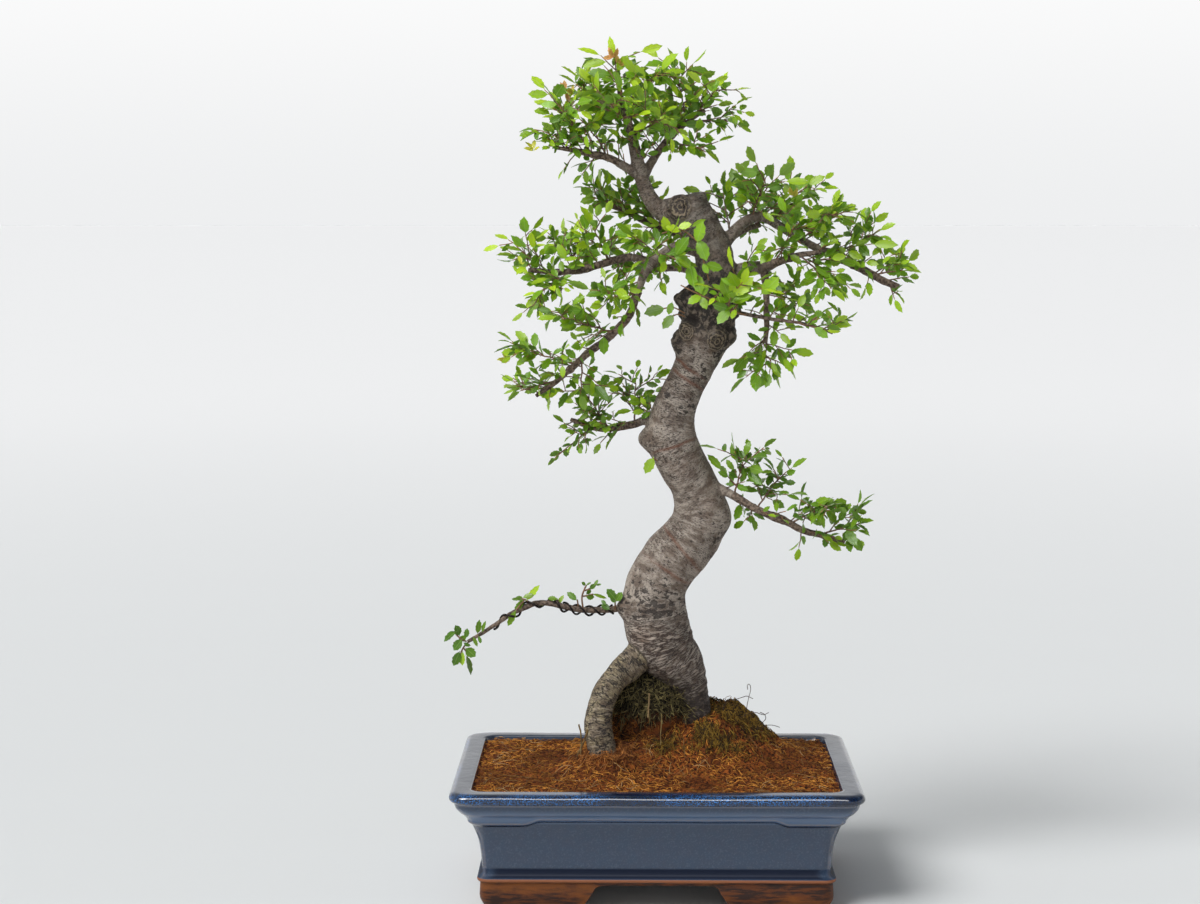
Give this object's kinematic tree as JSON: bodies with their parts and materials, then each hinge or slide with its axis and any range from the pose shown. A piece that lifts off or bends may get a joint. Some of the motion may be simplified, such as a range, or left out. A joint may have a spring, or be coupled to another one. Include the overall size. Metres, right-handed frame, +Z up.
{
  "type": "chinese elm bonsai in a rectangular pot",
  "caption": "Chinese elm bonsai with a curving trunk, an arched root, thin limbs and small toothed leaves, in a low rectangular glazed pot on short feet.",
  "frame": {"origin": "bottom centre of the whole plant's box, on the surface that the pot's feet stand on", "axes": "+Z up the tree, +X to the right seen from the pot's long front side, +Y from the front side towards the back"},
  "size_m": [0.4052, 0.26, 0.74],
  "materials": {
    "glaze": "gloss",
    "unglazed_clay": "matte",
    "screen": "matte",
    "soil": "matte",
    "moss": "matte",
    "bark": "satin",
    "wire": "satin",
    "leaf": "satin"
  },
  "bodies": {
    "root": {"pot": "glaze", "drain_screen_left": "screen", "drain_screen_right": "screen", "soil": "soil", "trunk": "bark", "wire_long": "wire", "wire_short": "wire", "spray_01_crown_left": "leaf", "spray_02_crown_left": "leaf", "spray_03_crown_left": "leaf", "spray_04_crown_stem": "leaf", "spray_05_crown_stem": "leaf", "spray_06_crown_stem": "leaf", "spray_07_crown_right": "leaf", "spray_08_crown_right": "leaf", "spray_09_crown_right": "leaf", "spray_10_crown_right": "leaf", "spray_11_crown_right": "leaf", "spray_12_crown_front": "leaf", "spray_13_crown_front": "leaf", "spray_14_crown_back": "leaf", "spray_15_high_left": "leaf", "spray_16_high_left": "leaf", "spray_17_middle_left": "leaf", "spray_18_middle_left": "leaf", "spray_19_middle_left": "leaf", "spray_20_middle_left": "leaf", "spray_21_upper_left": "leaf", "spray_22_upper_left": "leaf", "spray_23_upper_left": "leaf", "spray_24_upper_left": "leaf", "spray_25_upper_left": "leaf", "spray_26_upper_left": "leaf", "spray_27_small_left": "leaf", "spray_28_small_left": "leaf", "spray_29_small_left": "leaf", "spray_30_upper_right": "leaf", "spray_31_upper_right": "leaf", "spray_32_upper_right": "leaf", "spray_33_upper_right": "leaf", "spray_34_upper_right": "leaf", "spray_35_upper_right": "leaf", "spray_36_lower_right": "leaf", "spray_37_lower_right": "leaf", "spray_38_hanging": "leaf", "spray_39_hanging": "leaf", "spray_40_young_shoot": "leaf", "spray_41_young_shoot": "leaf", "spray_42_back_right": "leaf", "spray_43_back_left": "leaf", "spray_44_middle_right": "leaf", "spray_45_middle_right": "leaf", "spray_46_middle_right": "leaf", "spray_47_middle_right": "leaf", "spray_48_wired": "leaf", "spray_49_wired": "leaf", "spray_50_wired": "leaf"}
  },
  "joints": []
}
